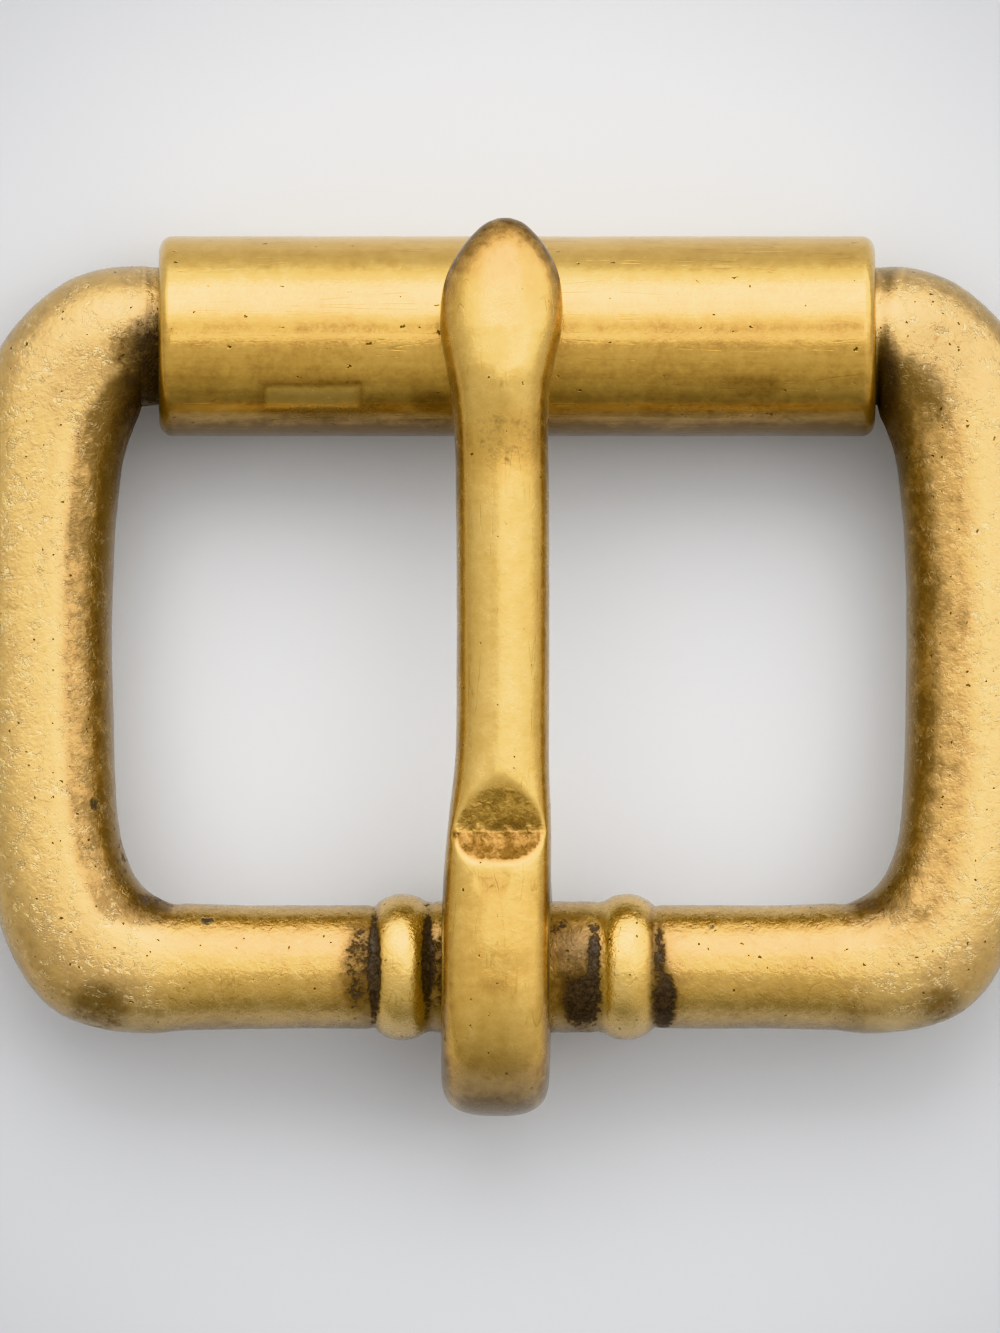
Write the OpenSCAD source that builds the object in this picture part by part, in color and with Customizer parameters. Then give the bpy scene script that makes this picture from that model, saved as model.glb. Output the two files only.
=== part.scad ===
// Solid cast roller buckle for a heavy belt: a frame cast in one piece, a tube that rolls on its
// front bar, and a prong whose loop turns on its heel bar between two cast beads.
// It lies face up on a flat surface, on the roller and on the loop of the prong.
// X runs along the two bars, Y from the heel bar to the roller, and Z up.
// The origin is the middle of the box round the buckle, at the level of the surface.

/* [Frame] */
// Width of the strap that the buckle is made for
strap_w = 38; // [32:0.5:50]
// Room between the strap and the side arms, both sides together
strap_play = 1.7; // [0.8:0.1:4]
// Distance between the axes of the heel bar and the roller
axis_gap = 31.6; // [27:0.1:42]
// Width of a side arm at its middle, seen from above
arm_w = 6.9; // [5:0.1:9]
// Thickness of a side arm at its middle, from face to face
arm_t = 6; // [4.8:0.1:8]
// Squareness of a side arm's section, where 2 is an ellipse
arm_square = 2.3; // [2:0.05:3]
// Diameter of the neck where an arm meets the roller
neck_d = 7.1; // [6.6:0.05:7.8]
// How far a neck stands in from the inner side of its arm
neck_in = 1.45; // [1:0.05:3]
// How far a lower corner reaches in along the heel bar
corner_in = 4.9; // [3.5:0.1:7]

/* [Front bar and roller] */
// Diameter of the front bar that the roller turns on
bar_d = 6.9; // [6:0.05:7]
// Radial room between the front bar and the roller
roller_fit = 0.08; // [0.04:0.01:0.1]
// Outer diameter of the roller
roller_d = 10.05; // [9.4:0.05:12]
// Radius of the rounded rims of the roller
rim_r = 0.75; // [0.3:0.05:1]
// Room for the roller to slide between the necks, both ends together
roller_play = 1; // [0.4:0.05:2]
// Share of that room that lies at the right end of the roller
roller_side = 0.12; // [0.1:0.01:0.9]

/* [Heel bar] */
// Diameter of the heel bar, which the strap folds round
heel_d = 6.2; // [5.4:0.05:6.8]
// Diameter of the hub between the beads, which the prong turns on
hub_d = 6.6; // [5.8:0.05:7]
// Diameter of the two beads
bead_d = 7.35; // [7.1:0.05:8.4]
// Width of a bead along the bar
bead_w = 2.6; // [1.8:0.1:3]
// Distance between the middles of the beads
bead_gap = 11.2; // [10:0.1:16]
// Radius of a bead's rounded profile
bead_round = 1.9; // [1.6:0.05:3]
// How far the pair of beads sits to the right of the middle
bead_side = 0.25; // [-1:0.05:1]

/* [Prong] */
// Radial room between the hub and the loop of the prong
loop_fit = 0.08; // [0.04:0.01:0.1]
// Width of the loop
loop_w = 5.45; // [4.6:0.05:6.4]
// Thickness of the loop's wall at its top
loop_t = 3.9; // [3:0.1:4.6]
// How far the loop sits to the left of the middle
loop_side = 0.7; // [-0.5:0.05:1.2]
// Width of the shank
shank_w = 4.65; // [3.8:0.05:5.6]
// Thickness of the shank
shank_t = 4.1; // [3.2:0.1:5]
// Width of the swollen end over the roller
bulb_w = 6.2; // [5:0.05:8]
// Thickness of the swollen end
bulb_t = 4.7; // [3.6:0.1:6]
// Length of the swelling behind the roller's axis
bulb_back = 6.6; // [4:0.1:9]
// How far the tip reaches past the roller's axis
tip_reach = 5.5; // [5:0.1:8]
// Gap between the prong and the top of the roller
seat_gap = 0.15; // [0.1:0.05:0.4]
// Gap of the seam where the end of the loop meets the shank
seam_gap = 0.25; // [0.15:0.05:0.5]
// Distance from the heel bar's axis to the middle of the notch
notch_y = 7.05; // [6:0.05:10]
// Length of the notch
notch_l = 4.5; // [3:0.1:6]
// Depth of the notch
notch_deep = 0.95; // [0.5:0.05:1.5]

/* [Hidden] */
$fn = 96;

// Corners of one ring, and steps between two rows of a table
SIDES = 24;
STEPS = 2;

inner_x = (strap_w + strap_play) / 2;
side_x = inner_x + arm_w / 2;
neck_x = inner_x - neck_in;
corner_x = inner_x - corner_in;
// Each arm's end stands this much proud of the round bar that enters it, and the bar goes this deep
end_step = 0.05;
end_overlap = 0.25;

roller_l = 2 * neck_x - roller_play;
roller_x = roller_play * (0.5 - roller_side);
bore_d = bar_d + 2 * roller_fit;

loop_r = hub_d / 2 + loop_fit;
// The swept wall of the loop starts this much inside its bore, which is then cut true
bore_cut = 0.3;
// The underside of the prong, above the plane of the two axes
heel_z = loop_r - bore_cut;
seat_z = roller_d / 2 + seat_gap;
// Share of the loop's wall that is left where it stands on the surface
FOOT = 0.8;
foot_r = loop_r + FOOT * loop_t;
// The plane of the axes slopes down to the roller, which is smaller than the loop
tilt = asin((foot_r - roller_d / 2) / axis_gap);

// Bends of a side arm, a row for each section, from a bar's end to the middle of the arm
REACH = 0; // share of the way out from the bar's end to the arm
RISE = 1; // share of the way from the bar's axis to the middle of the arm
TURN = 2; // degrees that the arm has turned from the bar
BLEND = 3; // 0 is the bar's diameter, 1 is the arm's own size
SWELL = 4; // width as a share of that size
UPPER_BEND = [
    [0.000, 0.000, 0.0, 0.00, 1.000],
    [0.230, 0.021, 14.9, 0.25, 1.080],
    [0.450, 0.063, 26.6, 0.45, 1.150],
    [0.665, 0.136, 37.7, 0.65, 1.195],
    [0.820, 0.216, 47.2, 0.80, 1.215],
    [0.900, 0.300, 54.5, 0.90, 1.195],
    [0.945, 0.411, 62.5, 0.95, 1.135],
    [0.973, 0.551, 72.5, 1.00, 1.055],
    [0.995, 0.756, 83.5, 1.00, 1.010],
    [1.000, 1.000, 90.0, 1.00, 1.000]
];
LOWER_BEND = [
    [0.000, 0.000, 0.0, 0.00, 1.000],
    [0.150, 0.000, 3.0, 0.08, 1.005],
    [0.300, -0.004, 9.7, 0.20, 1.030],
    [0.507, 0.020, 19.4, 0.40, 1.110],
    [0.669, 0.065, 29.0, 0.55, 1.180],
    [0.774, 0.127, 36.6, 0.65, 1.195],
    [0.854, 0.209, 44.2, 0.75, 1.165],
    [0.905, 0.291, 52.5, 0.85, 1.117],
    [0.945, 0.402, 63.0, 0.92, 1.060],
    [0.973, 0.560, 75.5, 0.97, 1.015],
    [0.992, 0.790, 85.0, 1.00, 1.003],
    [1.000, 1.000, 90.0, 1.00, 1.000]
];

// Wall of the loop, a row for each section, from the top of the hub back and down to the front leg
ANGLE = 0; // degrees round the hub from the roller's side, 90 is the top
WALL = 1; // share of the loop's thickness
BREADTH = 2; // share of the loop's width
SHIFT = 3; // sideways, as a share of the loop's width
LOOP = [
    [90, 1.00, 1.000, 0.000],
    [112, 1.00, 1.000, 0.000],
    [135, 1.02, 1.000, 0.000],
    [158, 1.04, 1.000, 0.000],
    [180, 1.05, 0.995, 0.000],
    [202, 0.99, 0.985, 0.010],
    [225, 0.88, 0.980, 0.020],
    [247, FOOT, 0.980, 0.030],
    [270, FOOT, 0.980, 0.035],
    [292, FOOT, 0.980, 0.040],
    [315, 0.72, 0.970, 0.040],
    [338, 0.60, 0.960, 0.035],
    [360, 0.50, 0.950, 0.030]
];
// Thickness and width of the loop's tapered end, as shares of the loop's
END_WALL = 0.44;
END_BREADTH = 0.93;

// Shank, a row for each section, from the hub to the start of the swelling
ALONG = 0; // share of that run
SLIM = 1; // 0 is the loop's width and thickness, 1 is the shank's
LEAN = 2; // sideways, as a share of the shank's width
SHANK = [
    [0.12, 0.03, 0.010],
    [0.20, 0.12, 0.025],
    [0.30, 0.45, 0.050],
    [0.38, 0.85, 0.065],
    [0.46, 1.00, 0.075],
    [0.60, 1.00, 0.080],
    [0.78, 1.00, 0.080],
    [0.92, 1.00, 0.075]
];

// Swelling behind the roller's axis, a row for each section
BACK = 0; // share of its length that is left to the axis
GROWN = 1; // 0 is the shank's width and thickness, 1 is the bulb's
BACK_LEAN = 2; // sideways, as a share of the shank's width
SWELLING = [
    [1.00, 0.00, 0.070],
    [0.75, 0.06, 0.060],
    [0.50, 0.22, 0.050],
    [0.25, 0.58, 0.050],
    [0.10, 0.84, 0.055],
    [0.00, 0.97, 0.060]
];

// Nose past the roller's axis, a row for each section
AHEAD = 0; // share of the reach of the tip
NOSE_W = 1; // share of the bulb's width
NOSE_T = 2; // share of the bulb's thickness
NOSE_LIFT = 3; // of the underside, as a share of the bulb's thickness
NOSE_LEAN = 4; // sideways, as a share of the shank's width
NOSE = [
    [0.15, 1.000, 1.000, 0.000, 0.065],
    [0.30, 0.980, 0.985, 0.000, 0.070],
    [0.45, 0.923, 0.940, 0.010, 0.078],
    [0.60, 0.818, 0.860, 0.030, 0.086],
    [0.75, 0.655, 0.730, 0.070, 0.092],
    [0.88, 0.460, 0.540, 0.130, 0.098],
    [0.96, 0.290, 0.340, 0.200, 0.100],
    [1.00, 0.110, 0.140, 0.290, 0.100]
];

// Squareness of the prong's sections
LOOP_SQUARE = 2.9;
SHANK_SQUARE = 2.35;
BULB_SQUARE = 2.2;

function mix(a, b, share) = a + (b - a) * share;

// A smooth curve through a table's rows, at share t of the way from row k to the next
function between(rows, k, t) =
    let (a = rows[max(k - 1, 0)], b = rows[k])
    let (c = rows[k + 1], d = rows[min(k + 2, len(rows) - 1)])
    b + (c - a) * t / 2 + (a - 2.5 * b + 2 * c - d / 2) * pow(t, 2) + (1.5 * (b - c) + (d - a) / 2) * pow(t, 3);

function smooth(rows) = [
    for (k = [0:len(rows) - 2], s = [0:STEPS - 1]) between(rows, k, s / STEPS),
    rows[len(rows) - 1]
];

function bulge(c, square) = sign(c) * pow(abs(c), 2 / square);

// One closed ring round a middle point, w across and t high along the two unit vectors given
function ring(middle, across, up, w, t, square) = [
    for (i = [0:SIDES - 1])
        let (a = 360 * i / SIDES)
        middle + across * w / 2 * bulge(cos(a), square) + up * t / 2 * bulge(sin(a), square)
];

// A closed solid through a list of rings
module skin(rings) {
    last = len(rings) - 1;
    walls = [
        for (k = [0:last - 1], i = [0:SIDES - 1])
            let (a = k * SIDES + i, b = k * SIDES + (i + 1) % SIDES)
            each [[a, b, b + SIDES], [a, b + SIDES, a + SIDES]]
    ];
    first_cap = [for (i = [SIDES - 1:-1:0]) i];
    last_cap = [for (i = [0:SIDES - 1]) last * SIDES + i];
    polyhedron([for (r = rings) each r], concat([first_cap], walls, [last_cap]));
}

// Sections of one bend as place, turn, width, thickness and squareness
function bend(rows, from_x, from_y, end_d, facing) = [
    for (r = rows) [
        mix(from_x, side_x, r[REACH]),
        mix(from_y, axis_gap / 2, r[RISE]),
        facing * (90 - r[TURN]),
        mix(end_d, arm_w, r[BLEND]) * r[SWELL],
        mix(end_d, arm_t, r[BLEND]),
        mix(2, arm_square, r[BLEND])
    ]
];

module arm() {
    upper = bend(UPPER_BEND, neck_x, axis_gap, neck_d, 1);
    lower = bend(LOWER_BEND, corner_x, 0, heel_d + 2 * end_step, -1);
    rows = concat(upper, [for (k = [len(lower) - 2:-1:0]) lower[k]]);
    skin([
        for (r = smooth(rows))
            ring([r[0], r[1], 0], [-cos(r[2]), -sin(r[2]), 0], [0, 0, 1], r[3], r[4], r[5])
    ]);
}

module along_x(half_l, d, middle_x = 0) {
    translate([middle_x, 0, 0]) rotate([0, 90, 0]) cylinder(h = 2 * half_l, d = d, center = true);
}

module bead() {
    rotate([0, 90, 0]) rotate_extrude() intersection() {
        translate([bead_d / 2 - bead_round, 0]) circle(r = bead_round);
        translate([0, -bead_w / 2]) square([bead_d, bead_w]);
    }
}

// Lays what is drawn in the plane of the two axes down on the surface, round the origin
module lay() {
    translate([0, -middle_y, foot_r]) rotate([-tilt, 0, 0]) children();
}

module frame() {
    color([0.80, 0.63, 0.30]) lay() union() {
        arm();
        mirror([1, 0, 0]) arm();
        translate([0, axis_gap, 0]) along_x(neck_x + end_overlap, bar_d);
        along_x(corner_x + end_overlap, heel_d);
        along_x(bead_gap / 2, hub_d, bead_side);
        for (side = [-1, 1]) translate([bead_side + side * bead_gap / 2, 0, 0]) bead();
    }
}

module roller() {
    wall = (roller_d - bore_d) / 2;
    color([0.84, 0.67, 0.33]) lay() translate([roller_x, axis_gap, 0]) rotate([0, 90, 0]) rotate_extrude() {
        translate([bore_d / 2, rim_r - roller_l / 2]) square([wall, roller_l - 2 * rim_r]);
        translate([bore_d / 2, -roller_l / 2]) square([wall - rim_r, roller_l]);
        for (end = [-1, 1])
            translate([roller_d / 2 - rim_r, end * (roller_l / 2 - rim_r)]) circle(r = rim_r);
    }
}

// Rows of the prong as inner and outer point of a section, width, squareness and sideways place
function loop_row(r) =
    let (way = [cos(r[ANGLE]), sin(r[ANGLE])])
    let (low = way * (loop_r - bore_cut), high = way * (loop_r + r[WALL] * loop_t))
    [low[0], low[1], high[0], high[1], r[BREADTH] * loop_w, LOOP_SQUARE, r[SHIFT] * loop_w];

function under_z(y) = mix(heel_z, seat_z, min(y / axis_gap, 1));

function bar_row(y, w, t, square, lean, lift = 0) =
    [y, under_z(y) + lift, y, under_z(y) + lift + t, w, square, lean];

leg_y = loop_r + END_WALL * loop_t;
leg_z = under_z(leg_y) - seam_gap;
leg_row = [
    loop_r - bore_cut, leg_z - leg_y + loop_r, leg_y, leg_z,
    END_BREADTH * loop_w, LOOP_SQUARE, LOOP[len(LOOP) - 1][SHIFT] * loop_w
];

PRONG = smooth(concat(
    [leg_row],
    [for (k = [len(LOOP) - 1:-1:0]) loop_row(LOOP[k])],
    [
        for (r = SHANK)
            bar_row(
                r[ALONG] * (axis_gap - bulb_back),
                mix(loop_w, shank_w, r[SLIM]),
                mix(loop_t + bore_cut, shank_t, r[SLIM]),
                mix(LOOP_SQUARE, SHANK_SQUARE, r[SLIM]),
                r[LEAN] * shank_w
            )
    ],
    [
        for (r = SWELLING)
            bar_row(
                axis_gap - r[BACK] * bulb_back,
                mix(shank_w, bulb_w, r[GROWN]),
                mix(shank_t, bulb_t, r[GROWN]),
                mix(SHANK_SQUARE, BULB_SQUARE, r[GROWN]),
                r[BACK_LEAN] * shank_w
            )
    ],
    [
        for (r = NOSE)
            bar_row(
                axis_gap + r[AHEAD] * tip_reach,
                r[NOSE_W] * bulb_w,
                r[NOSE_T] * bulb_t,
                BULB_SQUARE,
                r[NOSE_LEAN] * shank_w,
                r[NOSE_LIFT] * bulb_t
            )
    ]
));

// Where the laid buckle starts and ends along Y, which puts the origin in the middle
function laid_y(y, z) = y * cos(tilt) + z * sin(tilt);
back_y = min([for (r = PRONG) laid_y(r[2], r[3])]);
front_y = max(concat(
    [for (r = PRONG) laid_y((r[0] + r[2]) / 2, (r[1] + r[3]) / 2)],
    [laid_y(axis_gap, 0) + roller_d / 2]
));
middle_y = (back_y + front_y) / 2;

module prong() {
    notch_r = (pow(notch_l / 2, 2) + pow(notch_deep, 2)) / (2 * notch_deep);
    notch_top = under_z(notch_y) + mix(loop_t + bore_cut, shank_t, 0.35);
    color([0.86, 0.69, 0.34]) lay() translate([-loop_side, 0, 0]) difference() {
        skin([
            for (r = PRONG)
                let (low = [0, r[0], r[1]], high = [0, r[2], r[3]])
                ring([r[6], 0, 0] + (low + high) / 2, [1, 0, 0], (high - low) / norm(high - low),
                    r[4], norm(high - low), r[5])
        ]);
        along_x(loop_w, 2 * loop_r);
        translate([0, notch_y, notch_top + notch_r - notch_deep]) along_x(loop_w, 2 * notch_r);
    }
}

frame();
roller();
prong();
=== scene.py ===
import math

import bpy
import mathutils
import numpy as np
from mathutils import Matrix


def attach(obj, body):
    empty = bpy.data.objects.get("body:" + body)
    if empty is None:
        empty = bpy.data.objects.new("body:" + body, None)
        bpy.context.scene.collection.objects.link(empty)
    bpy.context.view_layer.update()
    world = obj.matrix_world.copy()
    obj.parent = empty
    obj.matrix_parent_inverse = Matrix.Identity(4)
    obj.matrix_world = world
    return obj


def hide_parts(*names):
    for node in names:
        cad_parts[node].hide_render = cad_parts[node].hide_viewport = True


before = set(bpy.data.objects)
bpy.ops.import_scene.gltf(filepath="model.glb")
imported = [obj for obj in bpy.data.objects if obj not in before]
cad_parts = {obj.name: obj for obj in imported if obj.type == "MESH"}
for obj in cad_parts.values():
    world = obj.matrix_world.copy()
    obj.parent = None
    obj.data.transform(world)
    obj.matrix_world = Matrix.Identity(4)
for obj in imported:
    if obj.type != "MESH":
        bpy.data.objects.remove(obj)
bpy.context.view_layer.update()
scene = bpy.context.scene


# Camera
# It looks straight down on the buckle, as in the photograph. One millimetre at the height of the heel
# bar's axis is 20 of the photograph's 1000 pixels. A mild contrast curve brings the tones near to it.

MM = 0.001
AXIS_Z = 6.5 * MM
VIEW_WIDTH = 50 * MM
CAMERA_PLACE = (-0.475 * MM, 0.068 * MM, 1.2)
SENSOR = 36
CONTRAST = ((0.05, 0.022), (0.12, 0.068), (0.25, 0.177), (0.45, 0.380), (0.79, 0.79))
WHITE_SHOWN = 1.04

eye = bpy.data.cameras.new("eye")
eye.sensor_fit = "HORIZONTAL"
eye.sensor_width = SENSOR
eye.lens = SENSOR * (CAMERA_PLACE[2] - AXIS_Z) / VIEW_WIDTH
eye.clip_start = 0.01
camera = bpy.data.objects.new("camera", eye)
camera.location = CAMERA_PLACE
scene.collection.objects.link(camera)
scene.camera = camera
scene.view_settings.view_transform = "Khronos PBR Neutral"
scene.view_settings.use_curve_mapping = True
contrast = scene.view_settings.curve_mapping.curves[3].points
contrast[0].location = (0, 0)
contrast[1].location = (1, WHITE_SHOWN)
for level, shown in CONTRAST:
    contrast.new(level, shown)
scene.view_settings.curve_mapping.clip_max_y = 2
scene.view_settings.curve_mapping.use_clip = False
scene.view_settings.curve_mapping.update()


# Studio light and floor
# A pale tent lights the buckle from all round, brighter above, behind the roller and at both sides. A
# large softbox behind the roller and a narrow one on the right add to it. The floor is a pale matt
# board with painted light on it: lighter near the buckle to lift its shade, darker further out.

def put(tree, kind, feeds=None, **settings):
    made = tree.nodes.new(kind)
    for name, value in settings.items():
        setattr(made, name, value)
    for socket, value in (feeds or {}).items():
        if isinstance(value, bpy.types.NodeSocket):
            tree.links.new(value, made.inputs[socket])
        else:
            made.inputs[socket].default_value = value
    return made


def calc(tree, operation, *values, kind="ShaderNodeMath", clamp=False):
    made = put(tree, kind, dict(enumerate(values)), operation=operation)
    if clamp:
        made.use_clamp = True
    return made.outputs[0]


def ramp(tree, value, stops):
    made = put(tree, "ShaderNodeValToRGB", {"Fac": value})
    marks = made.color_ramp.elements
    while len(marks) < len(stops):
        marks.new(0.5)
    for mark, (place, colour) in zip(marks, stops):
        mark.position = place
        mark.color = (*colour, 1)
    return made.outputs["Color"]


TENT = [
    (0.000, 0.31),
    (0.118, 0.45),
    (0.370, 0.62),
    (0.557, 0.71),
    (0.704, 0.76),
    (0.806, 0.89),
    (0.880, 1.22),
    (0.937, 1.38),
    (0.993, 1.60),
]
TENT_TOP = 1.42
FAR_SIDE_GAIN = 1.0
NEAR_SIDE_DIM = 0.30
SIDE_GAIN = 0.62
RIGHT_SIDE_GAIN = 0.22
SIDE_TOP = 1.20
SOFTBOXES = [
    ((0, 0.60, 0.60), (0.8, 0.6), 1.5),
    ((0.26, 0.06, 0.81), (0.12, 0.8), 0.30),
]
FLOOR_MIDDLE = (0.87, 0.882, 0.903)
FLOOR_EDGE = (0.60, 0.605, 0.617)
FLOOR_NEAR = 0.016
FLOOR_FAR = 0.042
FLOOR_SPAN = 1.5
FLOOR_ROUGH = 0.9
FLOOR_SHINE = 0.1

world = bpy.data.worlds.new("tent")
world.use_nodes = True
scene.world = world
sky = world.node_tree
sky.nodes.clear()
direction = put(sky, "ShaderNodeTexCoord").outputs["Generated"]
parts = put(sky, "ShaderNodeSeparateXYZ", {"Vector": direction}).outputs
near_side = calc(sky, "MULTIPLY", calc(sky, "MINIMUM", parts["Y"], 0), NEAR_SIDE_DIM)
far_side = calc(sky, "MULTIPLY", calc(sky, "MAXIMUM", parts["Y"], 0), FAR_SIDE_GAIN)
sides = calc(sky, "MULTIPLY", calc(sky, "ABSOLUTE", parts["X"]), SIDE_GAIN)
sides = calc(sky, "ADD", sides, calc(sky, "MULTIPLY", parts["X"], RIGHT_SIDE_GAIN))
level = calc(sky, "MINIMUM", calc(sky, "ADD", parts["Z"], sides), SIDE_TOP)
level = calc(sky, "ADD", level, calc(sky, "ADD", far_side, near_side))
level = calc(sky, "DIVIDE", level, TENT_TOP)
tent_grey = ramp(sky, level, [(place, (grey, grey, grey)) for place, grey in TENT])
glow = put(sky, "ShaderNodeBackground", {"Color": tent_grey})
put(sky, "ShaderNodeOutputWorld", {"Surface": glow.outputs[0]})

for spot, size, watts in SOFTBOXES:
    softbox = bpy.data.lights.new("softbox", "AREA")
    softbox.shape = "RECTANGLE"
    softbox.size, softbox.size_y = size
    softbox.energy = watts
    stand = bpy.data.objects.new("softbox", softbox)
    stand.location = spot
    stand.rotation_euler = (-mathutils.Vector(spot)).to_track_quat("-Z", "Y").to_euler()
    scene.collection.objects.link(stand)

half = FLOOR_SPAN / 2
corners = [(-half, -half, 0), (half, -half, 0), (half, half, 0), (-half, half, 0)]
board = bpy.data.meshes.new("floor")
board.from_pydata(corners, [], [(0, 1, 2, 3)])
floor = bpy.data.objects.new("floor", board)
scene.collection.objects.link(floor)
paint = bpy.data.materials.new("floor_paint")
paint.use_nodes = True
paint_tree = paint.node_tree
floor_place = put(paint_tree, "ShaderNodeTexCoord").outputs["Object"]
far = put(paint_tree, "ShaderNodeVectorMath", {0: floor_place}, operation="LENGTH").outputs["Value"]
share = put(paint_tree, "ShaderNodeMapRange", {"Value": far, "From Min": FLOOR_NEAR, "From Max": FLOOR_FAR})
# Painted light: the floor is painted lighter near the buckle and darker further out, and a little blue
# against the warm light bounced off the brass.
grey = ramp(paint_tree, share.outputs[0], [(0, FLOOR_MIDDLE), (1, FLOOR_EDGE)])
paint_shader = paint_tree.nodes["Principled BSDF"]
paint_tree.links.new(grey, paint_shader.inputs["Base Color"])
paint_shader.inputs["Roughness"].default_value = FLOOR_ROUGH
paint_shader.inputs["Specular IOR Level"].default_value = FLOOR_SHINE
board.materials.append(paint)


# Frame casting
# One heavy brass casting: two bowed side arms, necks beside the roller, the bar hidden in it, and the
# heel bar with two cast beads and the hub between them. Geometry Nodes sweep it round its own path.

AXIS_GAP = 31.6
HEEL_Z = 6.5
FRONT_Z = 5.025
TILT = math.asin((HEEL_Z - FRONT_Z) / AXIS_GAP)
MIDDLE_Y = 14.9566
INNER_X = 19.85
ARM_W = 6.9
ARM_T = 6.0
ARM_SQUARE = 2.3
SIDE_X = INNER_X + ARM_W / 2
NECK_D = 7.1
NECK_X = 18.4
NECK_TAPER = 0.8
RIGHT_NECK_END = 18.35
LEFT_NECK_END = 17.60
CORNER_X = 14.95
BAR_R = 3.45
HEEL_R = 3.1
HEEL_END_D = 6.3
HEEL_FLARE = 2
HUB_R = 3.3
HUB_STEP = 0.3
BEAD_R = 3.675
BEAD_W = 2.6
BEAD_GAP = 11.2
BEAD_ROUND = 1.9
BEAD_SIDE = 0.25
GROOVE_W = 0.16
GROOVE_DEEP = 0.06
UPPER_BEND = [
    (0.000, 0.000, 0.0, 0.00, 1.000),
    (0.230, 0.021, 14.9, 0.25, 1.080),
    (0.450, 0.063, 26.6, 0.45, 1.150),
    (0.665, 0.136, 37.7, 0.65, 1.195),
    (0.820, 0.216, 47.2, 0.80, 1.215),
    (0.900, 0.300, 54.5, 0.90, 1.195),
    (0.945, 0.411, 62.5, 0.95, 1.135),
    (0.973, 0.551, 72.5, 1.00, 1.055),
    (0.995, 0.756, 83.5, 1.00, 1.010),
    (1.000, 1.000, 90.0, 1.00, 1.000),
]
LOWER_BEND = [
    (0.000, 0.000, 0.0, 0.00, 1.000),
    (0.150, 0.000, 3.0, 0.08, 1.005),
    (0.300, -0.004, 9.7, 0.20, 1.030),
    (0.507, 0.020, 19.4, 0.40, 1.110),
    (0.669, 0.065, 29.0, 0.55, 1.180),
    (0.774, 0.127, 36.6, 0.65, 1.195),
    (0.854, 0.209, 44.2, 0.75, 1.165),
    (0.905, 0.291, 52.5, 0.85, 1.117),
    (0.945, 0.402, 63.0, 0.92, 1.060),
    (0.973, 0.560, 75.5, 0.97, 1.015),
    (0.992, 0.790, 85.0, 1.00, 1.003),
    (1.000, 1.000, 90.0, 1.00, 1.000),
]


def smooth(rows, steps):
    rows = np.array(rows, float)
    last = len(rows) - 1
    made = []
    for k in range(last):
        a, b, c, d = rows[max(k - 1, 0)], rows[k], rows[k + 1], rows[min(k + 2, last)]
        for s in range(steps):
            t = s / steps
            bend = a - 2.5 * b + 2 * c - d / 2
            twist = 1.5 * (b - c) + (d - a) / 2
            made.append(b + (c - a) * t / 2 + bend * t**2 + twist * t**3)
    made.append(rows[last])
    return np.array(made)


def mix(a, b, share):
    return a + (b - a) * share


def laid(points, place=True):
    x, y, z = np.array(points, float).T
    along_y = y * math.cos(TILT) + z * math.sin(TILT)
    up_z = z * math.cos(TILT) - y * math.sin(TILT)
    turned = np.stack([x, along_y, up_z], 1)
    if place:
        turned = turned + (0, -MIDDLE_Y, HEEL_Z)
    return turned * MM


def arm_rows(table, from_x, from_y, end_d, steps):
    rows = smooth(table, steps)
    made = np.empty((len(rows), 6))
    made[:, 0] = mix(from_x, SIDE_X, rows[:, 0])
    made[:, 1] = mix(from_y, AXIS_GAP / 2, rows[:, 1])
    made[:, 2] = np.radians(rows[:, 2])
    made[:, 3] = mix(end_d, ARM_W, rows[:, 3]) * rows[:, 4]
    made[:, 4] = mix(end_d, ARM_T, rows[:, 3])
    made[:, 5] = mix(2, ARM_SQUARE, rows[:, 3])
    return made


def neck_loss(x):
    end = RIGHT_NECK_END if x > 0 else LEFT_NECK_END
    share = min(max(1 - (abs(x) - end) / NECK_TAPER, 0), 1)
    return (NECK_D / 2 - BAR_R) * share**2 * (3 - 2 * share)


def heel_radius(x):
    u = x - BEAD_SIDE
    hub = np.clip((BEAD_GAP / 2 - np.abs(u)) / HUB_STEP + 0.5, 0, 1)
    radius = mix(HEEL_R, HUB_R, hub)
    flare = (np.abs(x) - CORNER_X + HEEL_FLARE) / HEEL_FLARE
    radius = np.where(flare > 0, mix(radius, HEEL_END_D / 2, flare), radius)
    for side in (-1, 1):
        off = np.abs(u - side * BEAD_GAP / 2)
        groove = np.exp(-((off - BEAD_W / 2 - GROOVE_W) / GROOVE_W) ** 2)
        radius = radius - GROOVE_DEEP * groove
        bead = BEAD_R - BEAD_ROUND + np.sqrt(np.maximum(BEAD_ROUND**2 - off**2, 0))
        radius = np.where(off < BEAD_W / 2, np.maximum(bead, radius), radius)
    return radius


ARM_STEPS = 15
lower = arm_rows(LOWER_BEND, CORNER_X, 0, HEEL_END_D, ARM_STEPS)
upper = arm_rows(UPPER_BEND, NECK_X, AXIS_GAP, NECK_D, ARM_STEPS)[::-1]
heel = np.linspace(-CORNER_X, CORNER_X, 200)[1:-1]
front = np.concatenate([
    [18.3, 18.1],
    np.linspace(17, -17, 12),
    [-17.4, -17.6, -17.7, -17.8, -17.95, -18.1, -18.25],
])
NECK_BLEND = 0.05

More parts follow.
